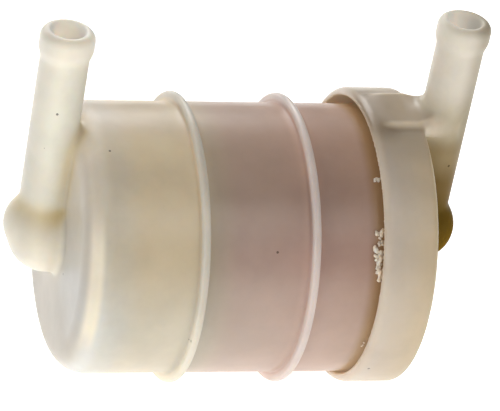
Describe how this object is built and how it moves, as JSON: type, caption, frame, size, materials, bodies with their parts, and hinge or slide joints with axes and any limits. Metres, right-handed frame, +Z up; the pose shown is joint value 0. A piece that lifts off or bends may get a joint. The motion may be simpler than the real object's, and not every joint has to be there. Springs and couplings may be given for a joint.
{
  "type": "fuel filter",
  "caption": "Inline fuel filter with a translucent nylon cup and welded cap, a pleated paper element inside and two beaded hose nipples that rise side by side from elbows at its ends.",
  "frame": {"origin": "On the cup's axis, midway between the two bracket rings, where a bracket band holds the filter.", "axes": "+X runs along the filter from the closed inlet end to the welded outlet cap; +Z points up both hose nipples; +Y completes the right-handed frame."},
  "size_m": [0.0861, 0.055, 0.0738],
  "materials": {
    "nylon_cup": "translucent satin moulding",
    "nylon_cap": "translucent satin moulding",
    "melted_nylon": "rough weld melt",
    "filter_paper": "resin-treated pleated paper",
    "disc_plastic": "moulded disc",
    "adhesive": "cured potting adhesive",
    "tube_plastic": "moulded perforated tube"
  },
  "bodies": {
    "root": {"housing_cup": "nylon_cup", "inlet_elbow": "nylon_cup", "end_cap": "nylon_cap", "outlet_elbow": "nylon_cap", "weld_bead": "melted_nylon", "weld_flash": "melted_nylon", "filter_paper": "filter_paper", "paper_seam": "adhesive", "centre_tube": "tube_plastic", "closed_end_disc": "disc_plastic", "closed_end_bond": "adhesive", "open_end_disc": "disc_plastic", "open_end_bond": "adhesive", "cap_bond": "adhesive"}
  },
  "joints": []
}
